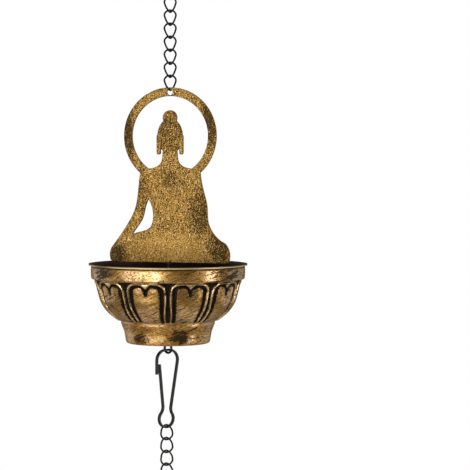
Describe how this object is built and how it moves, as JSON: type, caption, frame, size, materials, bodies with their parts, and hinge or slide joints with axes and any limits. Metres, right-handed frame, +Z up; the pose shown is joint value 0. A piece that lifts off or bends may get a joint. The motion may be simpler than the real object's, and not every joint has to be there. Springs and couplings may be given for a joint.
{
  "type": "rain chain",
  "caption": "Hanging rain chain length: snap clip and twisted links over a seated figure plate in a halo ring, with a lotus petal cup and a second clip below.",
  "frame": {"origin": "the place inside the top clip's upper bend that bears on what it hangs from", "axes": "+Z up, X across the figure plate, +Y through the plate towards its back"},
  "size_m": [0.106, 0.106, 0.4158],
  "materials": {
    "aged_brass": "antique gold over a dark patina, lightly brushed",
    "black_steel": "black lacquered steel, semi-gloss",
    "dark_fastener": "darkened steel, satin"
  },
  "bodies": {
    "hanger": {"top_clip": "black_steel"},
    "link_01_body": {"link_01": "black_steel"},
    "link_02_body": {"link_02": "black_steel"},
    "link_03_body": {"link_03": "black_steel"},
    "link_04_body": {"link_04": "black_steel"},
    "link_05_body": {"link_05": "black_steel"},
    "link_06_body": {"link_06": "black_steel"},
    "link_07_body": {"link_07": "black_steel"},
    "link_08_body": {"link_08": "black_steel"},
    "link_09_body": {"link_09": "black_steel"},
    "link_10_body": {"link_10": "black_steel"},
    "link_11_body": {"link_11": "black_steel"},
    "figure": {"figure_plate": "aged_brass", "eye_bolt": "black_steel", "washer": "dark_fastener", "hex_nut": "dark_fastener", "lotus_cup": "aged_brass"},
    "snap_clip": {"lower_clip": "black_steel"},
    "lower_link_1_body": {"lower_link_1": "black_steel"},
    "lower_link_2_body": {"lower_link_2": "black_steel"},
    "lower_link_3_body": {"lower_link_3": "black_steel"},
    "lower_link_4_body": {"lower_link_4": "black_steel"},
    "lower_link_5_body": {"lower_link_5": "black_steel"}
  },
  "joints": [
    {"name": "link_01_swing", "type": "hinge", "parent": "hanger", "child": "link_01_body", "pos_m": [0, 0, -0.04959], "axis": [1, 0, 0], "range_deg": [-45, 45]},
    {"name": "link_02_swing", "type": "hinge", "parent": "link_01_body", "child": "link_02_body", "pos_m": [0, 0, -0.0595], "axis": [0, 1, 0], "range_deg": [-45, 45]},
    {"name": "link_03_swing", "type": "hinge", "parent": "link_02_body", "child": "link_03_body", "pos_m": [0, 0, -0.06685], "axis": [-1, 0, 0], "range_deg": [-45, 45]},
    {"name": "link_04_swing", "type": "hinge", "parent": "link_03_body", "child": "link_04_body", "pos_m": [0, 0, -0.07676], "axis": [0, -1, 0], "range_deg": [-45, 45]},
    {"name": "link_05_swing", "type": "hinge", "parent": "link_04_body", "child": "link_05_body", "pos_m": [0, 0, -0.08411], "axis": [1, 0, 0], "range_deg": [-45, 45]},
    {"name": "link_06_swing", "type": "hinge", "parent": "link_05_body", "child": "link_06_body", "pos_m": [0, 0, -0.09402], "axis": [0, 1, 0], "range_deg": [-45, 45]},
    {"name": "link_07_swing", "type": "hinge", "parent": "link_06_body", "child": "link_07_body", "pos_m": [0, 0, -0.10137], "axis": [-1, 0, 0], "range_deg": [-45, 45]},
    {"name": "link_08_swing", "type": "hinge", "parent": "link_07_body", "child": "link_08_body", "pos_m": [0, 0, -0.11128], "axis": [0, -1, 0], "range_deg": [-45, 45]},
    {"name": "link_09_swing", "type": "hinge", "parent": "link_08_body", "child": "link_09_body", "pos_m": [0, 0, -0.11863], "axis": [1, 0, 0], "range_deg": [-45, 45]},
    {"name": "link_10_swing", "type": "hinge", "parent": "link_09_body", "child": "link_10_body", "pos_m": [0, 0, -0.12854], "axis": [0, 1, 0], "range_deg": [-45, 45]},
    {"name": "link_11_swing", "type": "hinge", "parent": "link_10_body", "child": "link_11_body", "pos_m": [0, 0, -0.13589], "axis": [-1, 0, 0], "range_deg": [-45, 45]},
    {"name": "figure_swing", "type": "hinge", "parent": "link_11_body", "child": "figure", "pos_m": [0, 0, -0.1458], "axis": [0, -1, 0], "range_deg": [-40, 40]},
    {"name": "snap_clip_swing", "type": "hinge", "parent": "figure", "child": "snap_clip", "pos_m": [-0.0015, 0, -0.32103], "axis": [-0.9397, 0.342, 0], "range_deg": [-30, 30]},
    {"name": "lower_link_1_swing", "type": "hinge", "parent": "snap_clip", "child": "lower_link_1_body", "pos_m": [-0.0021, -0.0008, -0.36935], "axis": [0.7986, -0.6018, 0], "range_deg": [-45, 45]},
    {"name": "lower_link_2_swing", "type": "hinge", "parent": "lower_link_1_body", "child": "lower_link_2_body", "pos_m": [-0.0021, -0.0008, -0.37926], "axis": [-0.6018, -0.7986, 0], "range_deg": [-45, 45]},
    {"name": "lower_link_3_swing", "type": "hinge", "parent": "lower_link_2_body", "child": "lower_link_3_body", "pos_m": [-0.0021, -0.0008, -0.38661], "axis": [-0.7986, 0.6018, 0], "range_deg": [-45, 45]},
    {"name": "lower_link_4_swing", "type": "hinge", "parent": "lower_link_3_body", "child": "lower_link_4_body", "pos_m": [-0.0021, -0.0008, -0.39652], "axis": [0.6018, 0.7986, 0], "range_deg": [-45, 45]},
    {"name": "lower_link_5_swing", "type": "hinge", "parent": "lower_link_4_body", "child": "lower_link_5_body", "pos_m": [-0.0021, -0.0008, -0.40387], "axis": [0.7986, -0.6018, 0], "range_deg": [-45, 45]}
  ]
}
